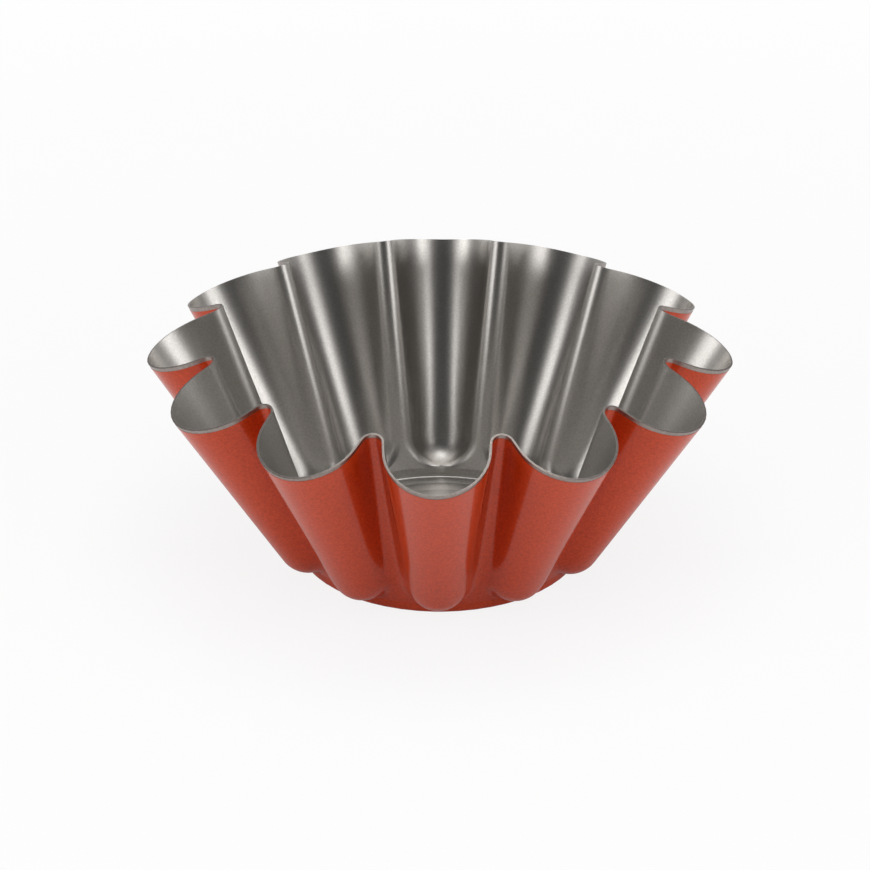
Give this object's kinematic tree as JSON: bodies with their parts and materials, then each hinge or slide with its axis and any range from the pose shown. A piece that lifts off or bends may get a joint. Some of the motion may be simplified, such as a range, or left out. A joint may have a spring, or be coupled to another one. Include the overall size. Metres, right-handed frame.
{
  "type": "pudding mould",
  "caption": "Round fluted pudding mould pressed from thin sheet: open wavy rim, rounded flutes that taper to a flat foot, grey non-stick lining inside and red lacquer outside.",
  "frame": {"origin": "middle of the flat foot, on the table that the mould stands on", "axes": "+Z is the mould's axis, up out of its mouth; +X runs through the tip of one flute"},
  "size_m": [0.22, 0.22, 0.0899],
  "materials": {
    "bare_steel": "satin",
    "grey_lining": "satin",
    "red_lacquer": "satin"
  },
  "bodies": {
    "root": {"steel_shell": "bare_steel", "nonstick_lining": "grey_lining", "red_lacquer": "red_lacquer"}
  },
  "joints": []
}
